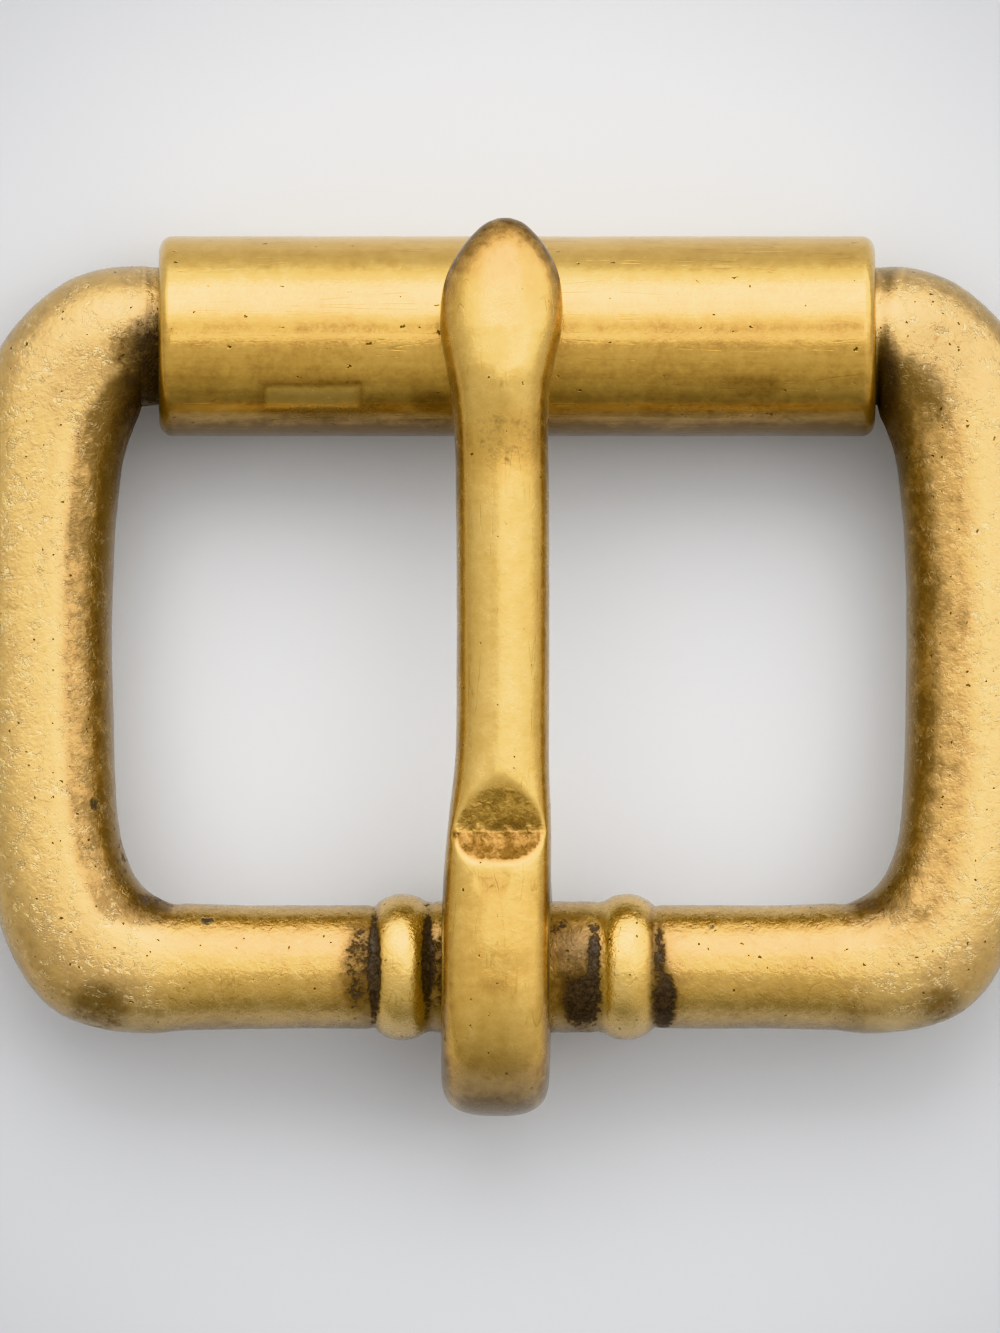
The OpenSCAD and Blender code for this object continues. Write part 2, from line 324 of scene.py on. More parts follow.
rail = []
for x, radius in zip(heel, heel_radius(heel)):
    rail.append((x, 0, 0, -1, radius, radius, 2, 1))
for x, y, turn, w, t, square in np.concatenate([lower, upper[1:]]):
    side = 1 if y < AXIS_GAP / 2 else -1
    loss = neck_loss(x) * (side < 0)
    rail.append((x, y, math.sin(turn), -side * math.cos(turn), w / 2 - loss, t / 2 - loss, square, 1))
for x in front:
    radius = NECK_D / 2 - neck_loss(x)
    rail.append((x, AXIS_GAP, 0, 1, radius, radius, 2, min(max((radius - BAR_R) / NECK_BLEND, 0), 1)))
for x, y, turn, w, t, square in np.concatenate([upper[::-1], lower[::-1][1:]]):
    side = 1 if y < AXIS_GAP / 2 else -1
    loss = neck_loss(-x) * (side < 0)
    rail.append((-x, y, -math.sin(turn), -side * math.cos(turn), w / 2 - loss, t / 2 - loss, square, 1))
rail.append(rail[0])
rail = np.array(rail)


def rail_mesh(name, middle, across, rise, square, cast):
    mesh = bpy.data.meshes.new(name)
    mesh.from_pydata([tuple(p) for p in middle], [], [])
    for label, values in (("across", across), ("rise", rise)):
        mesh.attributes.new(label, "FLOAT_VECTOR", "POINT").data.foreach_set("vector", np.ravel(values))
    for label, values in (("square", square), ("cast", cast)):
        mesh.attributes.new(label, "FLOAT", "POINT").data.foreach_set("value", values)
    return mesh


def sweep_tree():
    tree = bpy.data.node_groups.new("swept_casting", "GeometryNodeTree")
    face = tree.interface
    face.new_socket("Rail", in_out="INPUT", socket_type="NodeSocketGeometry")
    face.new_socket("Sides", in_out="INPUT", socket_type="NodeSocketInt")
    for name in ("Waviness", "Waves per metre", "Grain", "Grains per metre", "Shrink", "Seed"):
        face.new_socket(name, in_out="INPUT", socket_type="NodeSocketFloat")
    face.new_socket("Finish", in_out="INPUT", socket_type="NodeSocketMaterial")
    face.new_socket("Casting", in_out="OUTPUT", socket_type="NodeSocketGeometry")
    given = put(tree, "NodeGroupInput").outputs

    count = put(tree, "GeometryNodeAttributeDomainSize", {"Geometry": given["Rail"]}).outputs["Point Count"]
    rows = calc(tree, "ADD", given["Sides"], 1)
    skin = put(tree, "GeometryNodeMeshGrid", {"Vertices X": count, "Vertices Y": rows})
    index = put(tree, "GeometryNodeInputIndex").outputs[0]
    station = calc(tree, "FLOOR", calc(tree, "DIVIDE", calc(tree, "ADD", index, 0.5), rows))
    side = calc(tree, "SUBTRACT", index, calc(tree, "MULTIPLY", station, rows))
    angle = calc(tree, "MULTIPLY", calc(tree, "DIVIDE", side, given["Sides"]), math.tau)

    def along(label, kind):
        if label:
            source = put(tree, "GeometryNodeInputNamedAttribute", {"Name": label}, data_type=kind)
        else:
            source = put(tree, "GeometryNodeInputPosition")
        feeds = {"Geometry": given["Rail"], "Value": source.outputs[0], "Index": station}
        return put(tree, "GeometryNodeSampleIndex", feeds, data_type=kind).outputs[0]

    power = calc(tree, "DIVIDE", 2, along("square", "FLOAT"))

    def bulged(operation):
        share = calc(tree, operation, angle)
        size = calc(tree, "POWER", calc(tree, "ABSOLUTE", share), power)
        return calc(tree, "MULTIPLY", size, calc(tree, "SIGN", share))

    def scaled(vector, amount):
        return put(tree, "ShaderNodeVectorMath", {0: vector, "Scale": amount}, operation="SCALE").outputs[0]

    def added(a, b):
        return calc(tree, "ADD", a, b, kind="ShaderNodeVectorMath")

    place = added(along("", "FLOAT_VECTOR"), scaled(along("across", "FLOAT_VECTOR"), bulged("COSINE")))
    place = added(place, scaled(along("rise", "FLOAT_VECTOR"), bulged("SINE")))
    cast = along("cast", "FLOAT")
    feeds = {"Geometry": skin.outputs["Mesh"], "Name": "cast", "Value": cast}
    kept = put(tree, "GeometryNodeStoreNamedAttribute", feeds)
    shaped = put(tree, "GeometryNodeSetPosition", {"Geometry": kept.outputs[0], "Position": place})
    closed = put(tree, "GeometryNodeMergeByDistance", {"Geometry": shaped.outputs[0], "Distance": 2e-6})

    def noise(per_metre, detail):
        feeds = {"Scale": per_metre, "Detail": detail, "W": given["Seed"]}
        made = put(tree, "ShaderNodeTexNoise", feeds, noise_dimensions="4D")
        return calc(tree, "SUBTRACT", made.outputs[0], 0.5)

    lift = calc(tree, "MULTIPLY", noise(given["Waves per metre"], 1), given["Waviness"])
    grain = calc(tree, "MULTIPLY", noise(given["Grains per metre"], 2), given["Grain"])
    lift = calc(tree, "ADD", lift, grain)
    mask = put(tree, "GeometryNodeInputNamedAttribute", {"Name": "cast"}, data_type="FLOAT").outputs[0]
    lift = calc(tree, "SUBTRACT", calc(tree, "MULTIPLY", lift, mask), given["Shrink"])
    outward = put(tree, "GeometryNodeInputNormal").outputs[0]
    feeds = {"Geometry": closed.outputs[0], "Offset": scaled(outward, lift)}
    worn = put(tree, "GeometryNodeSetPosition", feeds)
    even = put(tree, "GeometryNodeSetShadeSmooth", {"Geometry": worn.outputs[0]})
    real = put(tree, "GeometryNodeRealizeInstances", {"Geometry": even.outputs[0]})
    done = put(tree, "GeometryNodeSetMaterial", {"Geometry": real.outputs[0], "Material": given["Finish"]})
    put(tree, "NodeGroupOutput", {"Casting": done.outputs[0]})
    return tree


def grown(name, seed_mesh, tree, values):
    holder = bpy.data.objects.new(name, seed_mesh)
    scene.collection.objects.link(holder)
    grower = holder.modifiers.new("grower", "NODES")
    grower.node_group = tree
    for item in tree.interface.items_tree:
        if item.in_out == "INPUT" and item.name in values:
            grower[item.identifier] = values[item.name]
    solid = bpy.data.meshes.new_from_object(holder.evaluated_get(bpy.context.evaluated_depsgraph_get()))
    solid.name = name
    holder.modifiers.clear()
    holder.data = solid
    bpy.data.meshes.remove(seed_mesh)
    return holder


def surface(obj):
    mesh = obj.data
    count = len(mesh.vertices)
    places, normals = np.empty(count * 3, np.float32), np.empty(count * 3, np.float32)
    mesh.vertices.foreach_get("co", places)
    mesh.vertex_normals.foreach_get("vector", normals)
    return places.reshape(-1, 3) / MM, normals.reshape(-1, 3)


def ease(value, low, high):
    t = np.clip((value - low) / (high - low), 0, 1)
    return t * t * (3 - 2 * t)


def spots(places, table):
    total = np.zeros(len(places))
    for x, y, reach_x, reach_y, strength in table:
        far = np.hypot((places[:, 0] - x) / reach_x, (places[:, 1] - y) / reach_y)
        total = np.maximum(total, strength * (1 - ease(far, 0.35, 1.15)))
    return total


# Painted shade and reflection: steep flanks and faces towards the heel side get a darker, greyer painted
# tone.
def steepness(normals):
    return np.maximum(ease(0.85 - normals[:, 2], 0, 0.9), ease(-normals[:, 1], 0.35, 0.9))


def painted(obj, **masks):
    for label, values in masks.items():
        layer = obj.data.attributes.new(label, "FLOAT", "POINT")
        layer.data.foreach_set("value", np.clip(values, 0, 1).astype(np.float32))


BRASS_TONES = [
    (0.00, (0.22, 0.130, 0.042)),
    (0.12, (0.42, 0.265, 0.103)),
    (0.28, (0.62, 0.405, 0.165)),
    (0.52, (0.78, 0.535, 0.200)),
    (0.78, (0.87, 0.630, 0.255)),
    (1.00, (0.92, 0.690, 0.310)),
]
FLANK_TONES = [(0.00, (0.25, 0.190, 0.115)), (0.60, (0.58, 0.455, 0.270))]
BROWN_TONES = [(0.30, (0.085, 0.050, 0.022)), (0.80, (0.30, 0.180, 0.065))]
BLACK_TONES = [(0.35, (0.060, 0.048, 0.038)), (0.75, (0.17, 0.125, 0.080))]
PALE_SKIN = (0.90, 0.715, 0.400, 1)
PALE_FLECK = (0.98, 0.84, 0.54, 1)
SCRATCH_TONE = (0.20, 0.115, 0.04, 1)
PIT_TONE = (0.10, 0.055, 0.022, 1)
SOOT_TONE = (0.080, 0.055, 0.034, 1)
COAT_ROUGH = 0.13


def brass(
    name, seed, stretch, streaks, crackle, pits, rough,
    pit_stretch=(1, 1, 1), dimple=1.0, coat=0.6, dull=0.0,
):
    finish = bpy.data.materials.new(name)
    finish.use_nodes = True
    tree = finish.node_tree
    tree.nodes.clear()
    local = put(tree, "ShaderNodeTexCoord").outputs["Object"]
    mm = put(tree, "ShaderNodeVectorMath", {0: local, "Scale": 1000}, operation="SCALE").outputs[0]
    mm = calc(tree, "ADD", mm, (seed, seed * 2, seed * 3), kind="ShaderNodeVectorMath")
    long = calc(tree, "MULTIPLY", mm, stretch, kind="ShaderNodeVectorMath")

    def noise(vector, scale, detail, roughness=0.55, bend=0.0):
        feeds = {"Vector": vector, "Scale": scale, "Detail": detail}
        feeds.update({"Roughness": roughness, "Distortion": bend})
        return calc(tree, "SUBTRACT", put(tree, "ShaderNodeTexNoise", feeds).outputs[0], 0.5)

    def mask(label):
        return put(tree, "ShaderNodeAttribute", attribute_name=label).outputs["Fac"]

    def times(a, b):
        return calc(tree, "MULTIPLY", a, b)

    def plus(*terms):
        total = terms[0]
        for term in terms[1:]:
            total = calc(tree, "ADD", total, term)
        return total

    def step(value, low, high):
        feeds = {"Value": value, "From Min": low, "From Max": high}
        return put(tree, "ShaderNodeMapRange", feeds, interpolation_type="SMOOTHSTEP").outputs[0]

    def over(share, below, above):
        feeds = {"Factor": share, 6: below, 7: above}
        return put(tree, "ShaderNodeMix", feeds, data_type="RGBA").outputs[2]

    # Patches of five sizes, then casting marks, scratches and pits
    clouds = noise(mm, 0.28, 3)
    mottle = noise(mm, 1.5, 5, 0.65)
    dapple = noise(mm, 3.2, 3, 0.6, 0.8)
    grain = noise(mm, 8, 4, 0.7)
    streak = noise(long, 1.0, 5, 0.6)

    thread = noise(mm, 1.5, 2, 0.5, 2.5)
    squiggle = calc(tree, "SUBTRACT", 1, step(calc(tree, "ABSOLUTE", thread), 0.01, 0.055))
    squiggle = times(mask("crust"), times(squiggle, step(noise(mm, 1.3, 2), -0.02, 0.10)))
    hair = calc(tree, "ABSOLUTE", noise(long, 0.45, 2, 0.5, 0.6))
    scratch = times(calc(tree, "SUBTRACT", 1, step(hair, 0.0, 0.016)), step(noise(mm, 0.5, 2), 0.0, 0.12))

    bent = put(tree, "ShaderNodeTexNoise", {"Vector": mm, "Scale": 4.0, "Detail": 2.0}).outputs["Color"]
    bent = put(tree, "ShaderNodeVectorMath", {0: bent, "Scale": 0.35}, operation="SCALE").outputs[0]
    pulled = calc(tree, "MULTIPLY", mm, pit_stretch, kind="ShaderNodeVectorMath")
    bent = calc(tree, "ADD", pulled, bent, kind="ShaderNodeVectorMath")
    cells = put(tree, "ShaderNodeTexVoronoi", {"Vector": bent, "Scale": 2.3, "Randomness": 1})
    luck = put(tree, "ShaderNodeSeparateColor", {"Color": cells.outputs["Color"]}).outputs[0]
    size = times(step(luck, 1 - pits, 1), 0.16)
    rim = calc(tree, "SUBTRACT", cells.outputs["Distance"], size)
    pit = calc(tree, "SUBTRACT", 1, step(rim, -0.06, 0.03))
    pit = times(pit, step(luck, 1 - pits, 1 - pits + 0.02))

    # Bare brass, from dark to pale by a mask that holds wear and also painted light and shade
    rub = calc(tree, "SUBTRACT", mask("rub"), times(mask("tarnish"), 0.55))
    tone = plus(rub, times(clouds, 0.40), times(mottle, 0.55), times(dapple, 0.25))
    tone = plus(tone, times(grain, 0.08), times(streak, streaks))
    metal = ramp(tree, tone, BRASS_TONES)
    lines = calc(tree, "ADD", times(squiggle, crackle), times(scratch, 0.3), clamp=True)
    # Painted shade: the shaded flanks take a darker, greyer tone.
    flank = ramp(tree, tone, FLANK_TONES)
    metal = over(times(mask("steep"), 0.75), metal, flank)
    metal = over(times(mask("crust"), 0.40 * crackle), metal, PALE_SKIN)
    on_top = calc(tree, "SUBTRACT", 1, times(mask("steep"), 0.7))
    # Painted glints: pale flecks that stand for highlights on tiny dents, fewer on the shaded flanks.
    metal = over(times(times(squiggle, 0.60 * crackle), on_top), metal, PALE_FLECK)
    metal = over(times(scratch, 0.20), metal, SCRATCH_TONE)
    metal = over(times(pit, 0.8), metal, PIT_TONE)

    # Brown tarnish, black grime and painted shade that lie on it; the tarnish and grime masks also hold some
    # painted shade
    grime = mask("grime")
    brown = plus(mask("tarnish"), times(grime, 0.9), times(mottle, 1.1))
    brown = step(plus(brown, times(dapple, 0.6), times(grain, 0.3)), 0.3, 0.85)
    brown_tone = ramp(tree, plus(mottle, grain, 0.5), BROWN_TONES)
    black = step(plus(grime, times(mottle, 1.2), times(dapple, 1.0), times(grain, 0.3)), 0.40, 0.66)
    black_tone = ramp(tree, plus(dapple, grain, 0.5), BLACK_TONES)
    soot = plus(times(mottle, 1.0), times(grain, 1.0), 0.95)
    soot = calc(tree, "MULTIPLY", mask("soot"), soot, clamp=True)
    coloured = over(times(brown, 0.82), metal, brown_tone)
    coloured = over(soot, coloured, SOOT_TONE)
    coloured = over(black, coloured, black_tone)

    gloss = plus(
        rough,
        times(mask("satin"), 0.05),
        times(mottle, 0.20),
        times(grain, 0.08),
        times(brown, 0.16),
        times(black, 0.30),
        times(soot, 0.2),
        times(mask("filed"), 0.10),
    )
    # Metal shine is lowered by black grime, by painted shade, by brown tarnish, and by dull on the painted
    # shaded flanks.
    worn = times(calc(tree, "SUBTRACT", 1, times(black, 0.92)), calc(tree, "SUBTRACT", 1, times(soot, 0.6)))
    shine = times(worn, calc(tree, "SUBTRACT", 1, plus(times(brown, 0.30), times(mask("steep"), dull))))
    height = plus(
        times(grain, 0.005 * dimple),
        times(dapple, 0.034 * dimple),
        times(mottle, 0.050 * dimple),
        times(mask("filed"), plus(times(grain, 0.02), times(dapple, 0.06))),
        times(streak, 0.006),
        times(lines, -0.020),
        times(pit, -0.04),
        times(black, -0.04),
    )
    relief = put(tree, "ShaderNodeBump", {"Strength": 1.0, "Distance": 0.001, "Height": height})
    shader = put(tree, "ShaderNodeBsdfPrincipled", {
        "Base Color": coloured,
        "Metallic": shine,
        "Roughness": gloss,
        "Coat Weight": coat,
        "Coat Roughness": COAT_ROUGH,
        "Normal": relief.outputs[0],
        "Coat Normal": relief.outputs[0],
    })
    put(tree, "ShaderNodeOutputMaterial", {"Surface": shader.outputs[0]})
    return finish


# Dark marks; the first five, in the neck corners beside the roller, are painted shade, and the two at the
# inner heel corners darken those corners.
FRAME_GRIME = [
    (-17.9, 14.6, 0.8, 2.4, 0.48),
    (-18.8, 15.8, 1.6, 2.6, 0.30),
    (-19.3, 12.2, 0.9, 1.8, 0.36),
    (18.9, 14.2, 0.6, 2.0, 0.45),
    (19.2, 12.0, 0.8, 2.2, 0.34),
    (-6.75, -14.9, 0.42, 3.6, 0.90),
    (-7.6, -14.9, 1.2, 3.4, 0.46),
    (-4.1, -14.6, 0.42, 3.6, 0.90),
    (-3.4, -14.9, 0.7, 3.6, 0.45),
    (3.65, -16.6, 1.3, 1.9, 0.80),
    (4.2, -14.9, 0.5, 3.4, 0.72),
    (2.6, -12.6, 1.2, 1.2, 0.36),
    (7.75, -16.7, 0.85, 1.9, 0.78),
    (7.5, -14.9, 0.45, 3.6, 0.50),
    (-20.7, -6.8, 0.35, 0.45, 0.66),
    (-19.4, -9.6, 0.6, 1.8, 0.42),
    (-17.8, -11.6, 1.8, 0.7, 0.45),
    (18.2, -11.8, 1.8, 0.6, 0.40),
    (-15.1, -12.6, 0.5, 0.4, 0.60),
    (10.0, -12.9, 0.3, 0.3, 0.60),
]
# Painted shade in the neck corners beside the roller and in the creases beside the prong's loop and the
# beads.
FRAME_SOOT = [
    (-17.5, 15.3, 1.9, 3.6, 1.00),
    (-18.3, 13.2, 1.6, 3.0, 0.90),
    (-19.3, 10.4, 0.9, 3.4, 0.45),
    (18.8, 14.2, 1.0, 3.0, 0.85),
    (19.5, 11.2, 0.8, 3.2, 0.45),
    (-4.2, -15.4, 1.2, 3.6, 0.60),
    (3.7, -15.4, 1.7, 3.6, 0.60),
    (-6.9, -15.6, 0.8, 3.2, 0.40),
    (7.3, -15.6, 0.8, 3.2, 0.40),
]
FRAME_TARNISH = [
    (-18.8, 15.0, 2.4, 3.6, 0.40),
    (-19.8, 11.0, 1.4, 4.0, 0.35),
    (18.8, 13.5, 1.6, 5.0, 0.42),
    (-7.4, -15.0, 1.9, 3.6, 0.36),
    (7.4, -15.5, 1.8, 3.6, 0.36),
    (0.2, -15.0, 5.0, 3.8, 0.60),
    (-22.5, -15.0, 4.5, 4.0, 0.24),
    (22.5, -15.0, 4.5, 4.0, 0.18),
    (-22.0, 15.0, 4.0, 4.0, 0.20),
    (21.5, 15.5, 3.5, 3.5, 0.36),
    (-18.5, -12.2, 2.6, 1.2, 0.40),
    (18.5, -12.2, 2.6, 1.2, 0.36),
    (-20.5, -17.0, 2.1, 2.2, 0.60),
    (21.6, -17.0, 1.7, 1.6, 0.54),
]
cast_brass = brass(
    "frame_cast_brass", seed=3.0, stretch=(1.6, 0.9, 1.6), streaks=0.2, crackle=0.9, pits=0.58,
    rough=0.27, dimple=0.8, coat=0.5, dull=0.3,
)
casting_tree = sweep_tree()
none = 0 * rail[:, 0]
across = laid(np.stack([rail[:, 2], rail[:, 3], none], 1) * rail[:, 4:5], False)
rise = laid(np.stack([none, none, rail[:, 5]], 1), False)
middle = laid(np.stack([rail[:, 0], rail[:, 1], none], 1))
frame_rail = rail_mesh("frame_rail", middle, across, rise, rail[:, 6], rail[:, 7])
frame_piece = grown("frame_casting", frame_rail, casting_tree, {
    "Sides": 96,
    "Waviness": 0.10 * MM,
    "Waves per metre": 220.0,
    "Grain": 0.03 * MM,
    "Grains per metre": 1500.0,
    "Shrink": 0.020 * MM,
    "Seed": 4.0,
    "Finish": cast_brass,
})
place, normal = surface(frame_piece)
outer = normal[:, 0] * np.sign(place[:, 0])
on_arm = ease(np.abs(place[:, 0]), 15.5, 19)
right = place[:, 0] > 0


def by_side(at_right, at_left):
    return np.where(right, at_right, at_left)


# Painted light and shade on the frame: tops lighter, a painted highlight line along each arm, a facet and the
# inner slope of each arm painted darker, the heel's face towards the softbox and the faces towards the heel
# side painted darker.
facet = ease(-outer, by_side(-0.05, 0.10), by_side(0.09, 0.24)) * on_arm
inner = ease(-outer, by_side(0.30, 0.34), by_side(0.50, 0.56)) * on_arm
ridge = np.exp(-((-outer - by_side(-0.08, 0.09)) / 0.035) ** 2) * on_arm
from_bead = np.abs(np.abs(place[:, 0] - BEAD_SIDE) - BEAD_GAP / 2)
on_bead = ease(BEAD_W / 2 - from_bead, 0, 0.4) * (1 - on_arm)
on_heel = 1 - on_arm
heel_top = ease(normal[:, 1], -0.05, 0.35) - 1.2 * ease(normal[:, 1], 0.55, 0.8)
frame_rub = 0.36 + 0.30 * ease(normal[:, 2], -0.2, 0.9)
frame_rub -= 0.19 * on_arm + 0.08 * on_arm * ease(np.abs(place[:, 1]), 12, 17)
frame_rub -= 0.10 * on_arm * right * ease(place[:, 1], 9, 15) + 0.09 * on_heel
frame_rub += 0.34 * on_bead + 0.18 * ridge
frame_rub -= facet * by_side(0.21, 0.37) + inner * by_side(0.18, 0.06)
frame_rub -= 0.24 * on_heel * (1 - on_bead) * heel_top + 0.25 * ease(-normal[:, 1], 0.75, 0.98)
painted(
    frame_piece,
    rub=frame_rub,
    # Painted shade: the undersides are painted browner, added to the tarnish spots.
    tarnish=spots(place, FRAME_TARNISH) + 0.22 * ease(-normal[:, 2], 0, 0.8),
    grime=spots(place, FRAME_GRIME),
    soot=spots(place, FRAME_SOOT) * (1 - 0.8 * on_bead),
    satin=on_arm,
    crust=(0.22 + 0.78 * on_arm - 0.2 * on_bead) * (1 - 0.55 * facet),
    steep=steepness(normal),
)
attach(frame_piece, "frame")
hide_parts("frame")


# Roller
# A thick brass tube with rounded rims that turns freely on the front bar. Years of strap leather have
# worn it to a satin with fine streaks along it. Geometry Nodes turn its profile about the bar.

ROLLER_R = 5.025
ROLLER_BORE = 3.53
ROLLER_LENGTH = 35.8
ROLLER_CENTRE = (0.38, 16.609, 5.025)
RIM_ALONG = 0.62
RIM_ROUND = 0.75


def tube_profile():
    rim = np.radians(np.linspace(0, 90, 11))[1:]
    rows = [(s, 1, -s, 0) for s in np.linspace(-1, 1, 150)]
    right = [(1, 1, math.sin(a) - 1, 1 - math.cos(a)) for a in rim]
    right += [(1, share, 0, share) for share in (0.75, 0.5, 0.25, 0.1)]
    right += [(1, 0.03, -0.08, 0), (1, 0, -0.3, 0)]
    rows += right
    rows += [(s, 0, -0.3 * s, 0) for s in np.linspace(1, -1, 24)[1:-1]]
    rows += [(-s, wall, -along, out) for s, wall, along, out in right[::-1]]
    rows.append(rows[0])
    return np.array(rows, float)


def tube_tree():
    tree = bpy.data.node_groups.new("turned_tube", "GeometryNodeTree")
    face = tree.interface
    face.new_socket("Profile", in_out="INPUT", socket_type="NodeSocketGeometry")
    face.new_socket("Sides", in_out="INPUT", socket_type="NodeSocketInt")
    face.new_socket("Centre", in_out="INPUT", socket_type="NodeSocketVector")
    for name in ("Radius", "Bore", "Length", "Rim along", "Rim round", "Dents", "Dents per metre", "Seed"):
        face.new_socket(name, in_out="INPUT", socket_type="NodeSocketFloat")
    face.new_socket("Finish", in_out="INPUT", socket_type="NodeSocketMaterial")
    face.new_socket("Tube", in_out="OUTPUT", socket_type="NodeSocketGeometry")
    given = put(tree, "NodeGroupInput").outputs

    points = put(tree, "GeometryNodeAttributeDomainSize", {"Geometry": given["Profile"]}).outputs
    count = points["Point Count"]
    rows = calc(tree, "ADD", given["Sides"], 1)
    skin = put(tree, "GeometryNodeMeshGrid", {"Vertices X": count, "Vertices Y": rows})
    index = put(tree, "GeometryNodeInputIndex").outputs[0]
    station = calc(tree, "FLOOR", calc(tree, "DIVIDE", calc(tree, "ADD", index, 0.5), rows))
    side = calc(tree, "SUBTRACT", index, calc(tree, "MULTIPLY", station, rows))
    angle = calc(tree, "MULTIPLY", calc(tree, "DIVIDE", side, given["Sides"]), math.tau)

    def along(label):
        source = put(tree, "GeometryNodeInputNamedAttribute", {"Name": label}, data_type="FLOAT")
        feeds = {"Geometry": given["Profile"], "Value": source.outputs[0], "Index": station}
        return put(tree, "GeometryNodeSampleIndex", feeds, data_type="FLOAT").outputs[0]

    def times(a, b):
        return calc(tree, "MULTIPLY", a, b)

    wall = along("wall")
    feeds = {"Scale": given["Dents per metre"], "Detail": 2.0, "W": given["Seed"]}
    turn = put(tree, "ShaderNodeCombineXYZ", {
        "X": times(times(along("end"), given["Length"]), 0.5),
        "Y": times(calc(tree, "COSINE", angle), given["Radius"]),
        "Z": times(calc(tree, "SINE", angle), given["Radius"]),
    })
    feeds["Vector"] = turn.outputs[0]
    dent = times(put(tree, "ShaderNodeTexNoise", feeds, noise_dimensions="4D").outputs[0], given["Dents"])
    thickness = calc(tree, "SUBTRACT", given["Radius"], given["Bore"])
    reach = calc(tree, "ADD", given["Bore"], times(wall, thickness))
    reach = calc(tree, "SUBTRACT", reach, times(along("round"), given["Rim round"]))
    reach = calc(tree, "SUBTRACT", reach, times(wall, dent))
    inset = times(along("inset"), given["Rim along"])
    x = calc(tree, "ADD", times(times(along("end"), given["Length"]), 0.5), inset)
    spot = put(tree, "ShaderNodeCombineXYZ", {
        "X": x,
        "Y": times(calc(tree, "MULTIPLY", calc(tree, "COSINE", angle), -1), reach),
        "Z": times(calc(tree, "SINE", angle), reach),
    })
    spot = calc(tree, "ADD", spot.outputs[0], given["Centre"], kind="ShaderNodeVectorMath")
    shaped = put(tree, "GeometryNodeSetPosition", {"Geometry": skin.outputs["Mesh"], "Position": spot})
    closed = put(tree, "GeometryNodeMergeByDistance", {"Geometry": shaped.outputs[0], "Distance": 2e-6})
    even = put(tree, "GeometryNodeSetShadeSmooth", {"Geometry": closed.outputs[0]})
    real = put(tree, "GeometryNodeRealizeInstances", {"Geometry": even.outputs[0]})
    done = put(tree, "GeometryNodeSetMaterial", {"Geometry": real.outputs[0], "Material": given["Finish"]})
    put(tree, "NodeGroupOutput", {"Tube": done.outputs[0]})
    return tree


profile = tube_profile()
tube_points = bpy.data.meshes.new("tube_profile")
tube_points.from_pydata([(0, 0, 0)] * len(profile), [], [])
for column, label in enumerate(("end", "wall", "inset", "round")):
    tube_points.attributes.new(label, "FLOAT", "POINT").data.foreach_set("value", profile[:, column])
satin_brass = brass(
    "roller_satin_brass", seed=11.0, stretch=(0.12, 2.2, 2.2), streaks=0.35, crackle=0.1, pits=0.42,
    rough=0.21, pit_stretch=(0.5, 1, 1), dimple=0.22, coat=0.2, dull=0.3,
)
roller_piece = grown("roller_tube", tube_points, tube_tree(), {
    "Sides": 220,
    "Centre": [c * MM for c in ROLLER_CENTRE],
    "Radius": (ROLLER_R - 0.004) * MM,
    "Bore": ROLLER_BORE * MM,
    "Length": ROLLER_LENGTH * MM,
    "Rim along": RIM_ALONG * MM,
    "Rim round": RIM_ROUND * MM,
    "Dents": 0.05 * MM,
    "Dents per metre": 260.0,
    "Seed": 7.0,
    "Finish": satin_brass,
})
PATCH_X = (-12.3, -7.5)
PATCH_Y = (12.9, 14.1)
# Tarnish stains, with painted shade: the long band along the roller's lower side and the spot beside the
# prong's swollen end are painted shade.
ROLLER_TARNISH = [
    (-9.0, 13.0, 4.0, 0.9, 0.42),
    (-4.0, 13.4, 1.4, 0.8, 0.40),
    (10.0, 12.8, 8.0, 0.7, 0.26),
    (0, 12.0, 30.0, 0.7, 0.22),
    (11.8, 14.1, 2.4, 0.7, 0.32),
]
place, normal = surface(roller_piece)
on_top = normal[:, 2] > 0
# Painted light and shade on the roller: paler on its outer side towards the softbox, darker on the side
# facing the heel bar and underneath, the very top painted a little darker and a band down the inner side
# painted lighter.
roller_rub = 0.56 - 0.34 * ease(-normal[:, 1], 0.1, 0.8) - 0.17 * ease(-normal[:, 1], 0.8, 0.98)
roller_rub += 0.22 * ease(normal[:, 1], 0.1, 0.5) - 0.15 * ease(normal[:, 1], 0.62, 0.8)
roller_rub -= 0.1 * ease(-normal[:, 2], 0, 0.6)
roller_rub -= 0.10 * (1 - ease(np.abs(normal[:, 1] - 0.03), 0.04, 0.20)) * on_top
roller_rub += 0.18 * (1 - ease(np.abs(normal[:, 1] + 0.66), 0.10, 0.26)) * on_top
from_bar = np.hypot(place[:, 1] - ROLLER_CENTRE[1], place[:, 2] - ROLLER_CENTRE[2])
inside = 1 - ease(from_bar, ROLLER_BORE, ROLLER_BORE + 0.5)
edge_x = (PATCH_X[1] - PATCH_X[0]) / 2 - np.abs(place[:, 0] - sum(PATCH_X) / 2)
edge_y = (PATCH_Y[1] - PATCH_Y[0]) / 2 - np.abs(place[:, 1] - sum(PATCH_Y) / 2)
patch = ease(np.minimum(edge_x, edge_y), -0.1, 0.2) * on_top
patch_rim = np.exp(-(np.minimum(edge_x, edge_y) / 0.22) ** 2) * on_top
# The tube is also made darker inside the bore.
painted(
    roller_piece,
    rub=roller_rub - 0.3 * inside + 0.34 * patch,
    tarnish=np.maximum(spots(place, ROLLER_TARNISH) * (1 - patch), 0.5 * patch_rim) + 0.6 * inside,
    grime=0.3 * inside,
    steep=steepness(normal),
)
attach(roller_piece, "roller")
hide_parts("roller")


